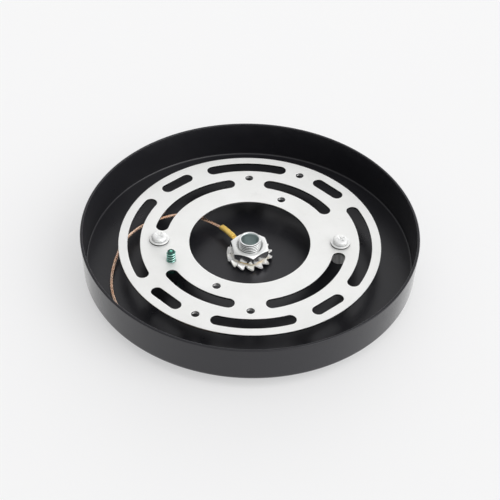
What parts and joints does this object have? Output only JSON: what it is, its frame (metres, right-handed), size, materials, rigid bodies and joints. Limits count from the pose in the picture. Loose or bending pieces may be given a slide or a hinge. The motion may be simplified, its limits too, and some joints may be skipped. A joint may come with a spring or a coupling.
{
  "type": "ceiling light canopy",
  "caption": "Shallow round steel ceiling canopy with a slotted universal mounting plate on standoffs, a hollow threaded centre nipple and a bare copper ground lead.",
  "frame": {"origin": "on the axis of the pan, level with the lowest faces of the collar and cap nuts under it", "axes": "+Z along the pan's axis, out of its open side towards the ceiling; the two mounting screws lie about along X"},
  "size_m": [0.1542, 0.1542, 0.0235],
  "materials": {
    "black_powder_coat": "satin black powder coat on drawn steel",
    "zinc_plate": "bright zinc plating on stamped steel",
    "zinc_turned": "zinc plating on turned steel",
    "zinc_screw": "bright zinc plating",
    "zinc_washer": "bright zinc plating",
    "zinc_nipple": "zinc plating on thread",
    "zinc_nut": "bright zinc plating",
    "zinc_star_washer": "zinc plating with a faint yellow tint on spring steel",
    "brass_terminal": "plain stamped brass",
    "bare_copper": "bare stranded copper",
    "green_ground_screw": "green dyed zinc plating",
    "green_washer": "green dyed zinc plating",
    "black_cap_nut": "satin black coat on turned steel",
    "black_collar": "satin black coat on turned steel",
    "nylon": "natural nylon",
    "fibre_washer": "black vulcanised fibre"
  },
  "bodies": {
    "canopy": {"canopy_pan": "black_powder_coat", "nipple": "zinc_nipple", "hex_nut": "zinc_nut", "star_washer": "zinc_star_washer", "ring_terminal": "brass_terminal", "ground_wire": "bare_copper", "stem_collar": "black_collar", "collar_washer": "fibre_washer", "cap_nut_washer_left": "nylon", "cap_nut_washer_right": "nylon"},
    "plate_assembly": {"mounting_plate": "zinc_plate", "standoff_left": "zinc_turned", "standoff_right": "zinc_turned"},
    "cap_nut_left": {"cap_nut_left": "black_cap_nut"},
    "cap_nut_right": {"cap_nut_right": "black_cap_nut"},
    "screw_washer_left": {"screw_washer_left": "zinc_washer"},
    "mounting_screw_left": {"mounting_screw_left": "zinc_screw"},
    "screw_washer_right": {"screw_washer_right": "zinc_washer"},
    "mounting_screw_right": {"mounting_screw_right": "zinc_screw"},
    "ground_screw_washer": {"ground_screw_washer": "green_washer"},
    "ground_screw": {"ground_screw": "green_ground_screw"}
  },
  "joints": [
    {"name": "cap_nut_left_turn", "type": "hinge", "parent": "canopy", "child": "cap_nut_left", "pos_m": [-0.04139, -0.0007, 0.002], "axis": [0, 0, -1], "range_deg": [0, 1441]},
    {"name": "cap_nut_right_turn", "type": "hinge", "parent": "canopy", "child": "cap_nut_right", "pos_m": [0.04139, 0.0007, 0.002], "axis": [0, 0, -1], "range_deg": [0, 1441]},
    {"name": "plate_lift", "type": "slide", "parent": "canopy", "child": "plate_assembly", "axis": [0, 0, 1], "range_m": [0, 0.0028]},
    {"name": "mounting_screw_left_turn", "type": "hinge", "parent": "screw_washer_left", "child": "mounting_screw_left", "pos_m": [-0.04139, -0.0007, 0.0175], "axis": [0, 0, 1], "range_deg": [0, 2882]},
    {"name": "mounting_screw_left_travel", "type": "slide", "parent": "plate_assembly", "child": "screw_washer_left", "axis": [0, 0, 1], "range_m": [0, 0.0056]},
    {"name": "mounting_screw_right_turn", "type": "hinge", "parent": "screw_washer_right", "child": "mounting_screw_right", "pos_m": [0.04139, 0.0007, 0.0175], "axis": [0, 0, 1], "range_deg": [0, 2882]},
    {"name": "mounting_screw_right_travel", "type": "slide", "parent": "plate_assembly", "child": "screw_washer_right", "axis": [0, 0, 1], "range_m": [0, 0.0056]},
    {"name": "ground_screw_travel", "type": "slide", "parent": "plate_assembly", "child": "ground_screw_washer", "axis": [0, 0, -1], "range_m": [0, 0.0038]},
    {"name": "ground_screw_turn", "type": "hinge", "parent": "ground_screw_washer", "child": "ground_screw", "pos_m": [-0.0352, -0.0139, 0.0115], "axis": [0, 0, -1], "range_deg": [0, 978]}
  ],
  "couplings": [
    {"joint": "cap_nut_left_turn", "follows": "plate_lift", "rad_per_m": 8976},
    {"joint": "cap_nut_right_turn", "follows": "plate_lift", "rad_per_m": 8976},
    {"joint": "mounting_screw_left_turn", "follows": "mounting_screw_left_travel", "rad_per_m": 8976},
    {"joint": "mounting_screw_right_turn", "follows": "mounting_screw_right_travel", "rad_per_m": 8976},
    {"joint": "ground_screw_turn", "follows": "ground_screw_travel", "rad_per_m": 4488}
  ]
}
